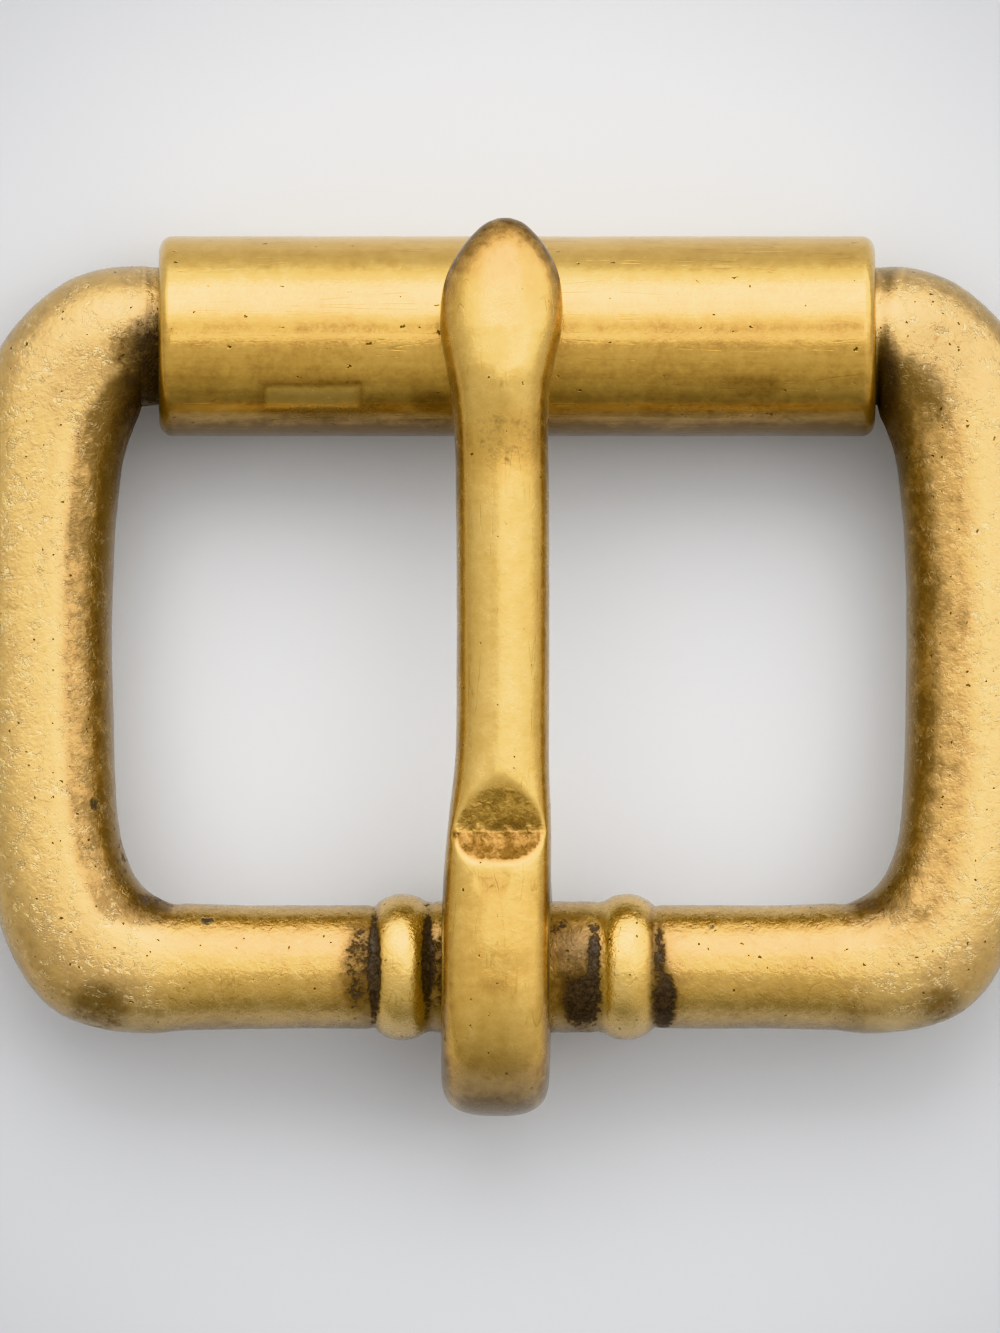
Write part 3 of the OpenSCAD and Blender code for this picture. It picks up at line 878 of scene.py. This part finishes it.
# Prong
# A cast brass tongue, its heel bent round the hub in a closed loop, with a filed notch above it and a
# swollen end that rests on the roller. Geometry Nodes sweep it along its bent length.

LOOP_R = 3.38
LOOP_W = 5.45
LOOP_T = 3.9
LOOP_SIDE = 0.7
BORE_CUT = 0.3
SHANK_W = 4.65
SHANK_T = 4.1
BULB_W = 6.2
BULB_T = 4.7
BULB_BACK = 6.6
TIP_REACH = 5.5
SEAT_Z = 5.175
SEAM_GAP = 0.25
LOOP_SQUARE = 2.9
SHANK_SQUARE = 2.05
BULB_SQUARE = 1.9
LOOP = [
    (90, 1.00, 1.000, 0.000),
    (112, 1.00, 1.000, 0.000),
    (135, 1.02, 1.000, 0.000),
    (158, 1.04, 1.000, 0.000),
    (180, 1.05, 0.995, 0.000),
    (202, 0.99, 0.985, 0.010),
    (225, 0.88, 0.980, 0.020),
    (247, 0.80, 0.980, 0.030),
    (270, 0.80, 0.980, 0.035),
    (292, 0.80, 0.980, 0.040),
    (315, 0.72, 0.970, 0.040),
    (338, 0.60, 0.960, 0.035),
    (360, 0.50, 0.950, 0.030),
]
LEG_WALL = 0.44
LEG_BREADTH = 0.93
LEG_LEAN = 0.03
SHANK = [
    (0.12, 0.03, 0.010),
    (0.20, 0.12, 0.025),
    (0.30, 0.45, 0.050),
    (0.38, 0.85, 0.065),
    (0.46, 1.00, 0.075),
    (0.60, 1.00, 0.080),
    (0.78, 1.00, 0.080),
    (0.92, 1.00, 0.075),
]
SWELLING = [
    (1.00, 0.00, 0.00, 0.070),
    (0.75, 0.06, 0.32, 0.060),
    (0.50, 0.22, 0.85, 0.050),
    (0.36, 0.42, 0.98, 0.050),
    (0.25, 0.58, 0.91, 0.050),
    (0.10, 0.84, 0.68, 0.055),
    (0.00, 0.97, 0.51, 0.060),
]
NOSE = [
    (0.15, 1.000, 0.906, 0.000, 0.065),
    (0.30, 0.980, 0.873, 0.000, 0.070),
    (0.45, 0.923, 0.822, 0.010, 0.078),
    (0.60, 0.818, 0.750, 0.028, 0.086),
    (0.75, 0.655, 0.640, 0.060, 0.092),
    (0.88, 0.460, 0.470, 0.120, 0.098),
    (0.96, 0.290, 0.300, 0.180, 0.100),
    (1.00, 0.110, 0.120, 0.260, 0.100),
]
PRONG_STEPS = 14
END_CAP = (0, 0.4, 0.75, 0.93)
NOTCH_FROM = 4.75
NOTCH_LOW = 6.5
NOTCH_TO = 9.3
NOTCH_DEEP = 0.95
NOTCH_ROUND = 0.08
BURR_HIGH = 0.045
FILE_SOFT = 0.07
ABOVE_HUB = 4
PAD_X = -0.9
PAD_Y = 4.15
PAD_R = 0.9
PAD_DEEP = 0.05


def under_z(y):
    return mix(LOOP_R - BORE_CUT, SEAT_Z, min(y / AXIS_GAP, 1))


def bar_row(y, w, t, square, lean, lift=0.0):
    return (y, under_z(y) + lift, y, under_z(y) + lift + t, w, square, lean)


leg_y = LOOP_R + LEG_WALL * LOOP_T
leg_z = under_z(leg_y) - SEAM_GAP
leg_in = (LOOP_R - BORE_CUT, leg_z - leg_y + LOOP_R)
prong_rows = [(*leg_in, leg_y, leg_z, LEG_BREADTH * LOOP_W, LOOP_SQUARE, LEG_LEAN * LOOP_W)]
for angle, wall, breadth, shift in LOOP[::-1]:
    way = np.array([math.cos(math.radians(angle)), math.sin(math.radians(angle))])
    prong_rows.append((
        *(way * (LOOP_R - BORE_CUT)),
        *(way * (LOOP_R + wall * LOOP_T)),
        breadth * LOOP_W,
        LOOP_SQUARE,
        shift * LOOP_W,
    ))
for share, slim, lean in SHANK:
    w = mix(LOOP_W, SHANK_W, slim)
    t = mix(LOOP_T + BORE_CUT, SHANK_T, slim)
    square = mix(LOOP_SQUARE, SHANK_SQUARE, slim)
    prong_rows.append(bar_row(share * (AXIS_GAP - BULB_BACK), w, t, square, lean * SHANK_W))
for back, part, thick, lean in SWELLING:
    w = mix(SHANK_W, BULB_W, part)
    t = mix(SHANK_T, BULB_T, thick)
    square = mix(SHANK_SQUARE, BULB_SQUARE, part)
    prong_rows.append(bar_row(AXIS_GAP - back * BULB_BACK, w, t, square, lean * SHANK_W))
for ahead, w, t, lift, lean in NOSE:
    y = AXIS_GAP + ahead * TIP_REACH
    prong_rows.append(bar_row(y, w * BULB_W, t * BULB_T, BULB_SQUARE, lean * SHANK_W, lift * BULB_T))

rows = smooth(prong_rows, PRONG_STEPS)
none = 0 * rows[:, 0]
low = np.stack([none, rows[:, 0], rows[:, 1]], 1)
high = np.stack([none, rows[:, 2], rows[:, 3]], 1)
middle = (low + high) / 2 + np.stack([rows[:, 6], none, none], 1)
rise = (high - low) / 2
across = np.stack([rows[:, 4] / 2, none, none], 1)
squares = rows[:, 5]
ends = np.array(END_CAP)
extra = len(ends)
middle = np.concatenate([np.repeat(middle[:1], extra, 0), middle, np.repeat(middle[-1:], extra, 0)])
rise = np.concatenate([rise[0] * ends[:, None], rise, rise[-1] * ends[::-1, None]])
across = np.concatenate([across[0] * ends[:, None], across, across[-1] * ends[::-1, None]])
squares = np.concatenate([squares[:1].repeat(extra), squares, squares[-1:].repeat(extra)])
middle[:, 0] -= LOOP_SIDE
cast = np.ones(len(squares))
prong_rail = rail_mesh("prong_rail", laid(middle), laid(across, False), laid(rise, False), squares, cast)
worn_brass = brass(
    "prong_worn_brass", seed=23.0, stretch=(2.0, 0.25, 2.0), streaks=0.28, crackle=0.06, pits=0.30,
    rough=0.25, pit_stretch=(1, 0.7, 1), dimple=0.25, coat=0.35, dull=0.70,
)
prong_piece = grown("prong_casting", prong_rail, casting_tree, {
    "Sides": 112,
    "Waviness": 0.08 * MM,
    "Waves per metre": 260.0,
    "Grain": 0.02 * MM,
    "Grains per metre": 1500.0,
    "Shrink": 0.02 * MM,
    "Seed": 9.0,
    "Finish": worn_brass,
})


# Two jobs that the sweep can't do: the loop is bored out to the hub, and the notch is filed across the
# top. Points inside the bore move out to it, and points above the notch's floor come down to it.

place, normal = surface(prong_piece)
flat_y = (place[:, 1] + MIDDLE_Y) * math.cos(TILT) - (place[:, 2] - HEEL_Z) * math.sin(TILT)
flat_z = (place[:, 1] + MIDDLE_Y) * math.sin(TILT) + (place[:, 2] - HEEL_Z) * math.cos(TILT)
away = np.hypot(flat_y, flat_z)
bored = np.maximum(away, LOOP_R) / np.maximum(away, 0.1)
flat_y *= bored
flat_z *= bored
deep = np.where(
    flat_y > NOTCH_LOW,
    (NOTCH_TO - flat_y) / (NOTCH_TO - NOTCH_LOW),
    (flat_y - NOTCH_FROM) / (NOTCH_LOW - NOTCH_FROM),
)
top_z = mix(LOOP_R - BORE_CUT, SEAT_Z, flat_y / AXIS_GAP) + mix(LOOP_T + BORE_CUT, SHANK_T, 0.35)
cut = top_z - NOTCH_DEEP * deep + NOTCH_ROUND * np.exp(-((flat_y - NOTCH_LOW) / 0.3) ** 2)
burr = np.sin(7.3 * place[:, 0] + 1) + np.sin(12.1 * place[:, 0] + 2) + np.sin(5.1 * place[:, 0] + 9 * flat_y)
cut += BURR_HIGH * burr * np.exp(-((flat_y - NOTCH_LOW + 0.1) / 0.5) ** 2)
excess = flat_z - cut
lowered = (excess + np.sqrt(excess**2 + FILE_SOFT**2)) / 2
filed = (deep > -0.12) & (flat_z > ABOVE_HUB)
lowered = np.where(filed, lowered, 0) * ease(deep, -0.12, 0.02)
flat_z -= lowered
pad = np.hypot(place[:, 0] - PAD_X, flat_y - PAD_Y) / PAD_R
flat_z -= PAD_DEEP * (1 - ease(pad, 0.75, 1.1)) * (flat_z > ABOVE_HUB)
moved = laid(np.stack([place[:, 0], flat_y, flat_z], 1))
prong_piece.data.vertices.foreach_set("co", np.ravel(moved).astype(np.float32))
prong_piece.data.update()

# Tarnish marks; the last, on the loop's lower end, is painted shade.
PRONG_TARNISH = [
    (-0.2, 11.2, 2.8, 2.6, 0.42),
    (-0.4, 20.8, 2.6, 2.2, 0.30),
    (-0.9, -10.8, 0.9, 0.9, 0.34),
    (-0.7, -15.8, 1.0, 0.8, 0.40),
    (-0.7, -20.6, 3.2, 2.2, 0.36),
]
PRONG_GRIME = [
    (-2.2, -8.9, 0.7, 0.7, 0.30),
    (-0.2, -8.0, 1.6, 0.5, 0.25),
]
place, normal = surface(prong_piece)
in_notch = ease(lowered, 0.02, 0.2)
far_slope = flat_y > NOTCH_LOW
fold = ease(flat_y, NOTCH_LOW - 1.1, NOTCH_LOW - 0.2)
# Painted light and shade on the prong: lighter on top, darker on the flanks and on the faces towards the
# heel, and darker along the loop and towards the tip.
prong_rub = 0.42 + 0.40 * ease(normal[:, 2], 0.3, 0.95) - 0.15 * ease(np.abs(normal[:, 0]), 0.5, 1)
# Painted shade in the notch: the slope towards the loop is painted much darker, with a painted highlight band
# along the fold at its floor.
prong_rub -= in_notch * np.where(far_slope, -0.12, 0.82 - 0.14 * fold)
prong_rub -= 0.04 * ease(place[:, 1], 11.5, 14.5) + 0.12 * ease(place[:, 1], 15.5, 18)
prong_rub -= 0.30 * ease(-normal[:, 1], 0.75, 0.98) + 0.12 * ease(place[:, 1], 17.5, 20.5)
prong_rub += 0.08 * ease(-place[:, 1], 15.2, 18.5) - 0.20 * ease(-place[:, 1], 9.5, 11)
on_top = spots(place, PRONG_TARNISH) * (place[:, 2] > 5)
painted(
    prong_piece,
    rub=prong_rub,
    # The notch's slope towards the tip is painted brown as shade.
    tarnish=np.maximum(on_top, 0.56 * in_notch * far_slope),
    grime=spots(place, PRONG_GRIME) * in_notch,
    steep=steepness(normal),
    filed=in_notch,
)
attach(prong_piece, "prong")
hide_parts("prong")
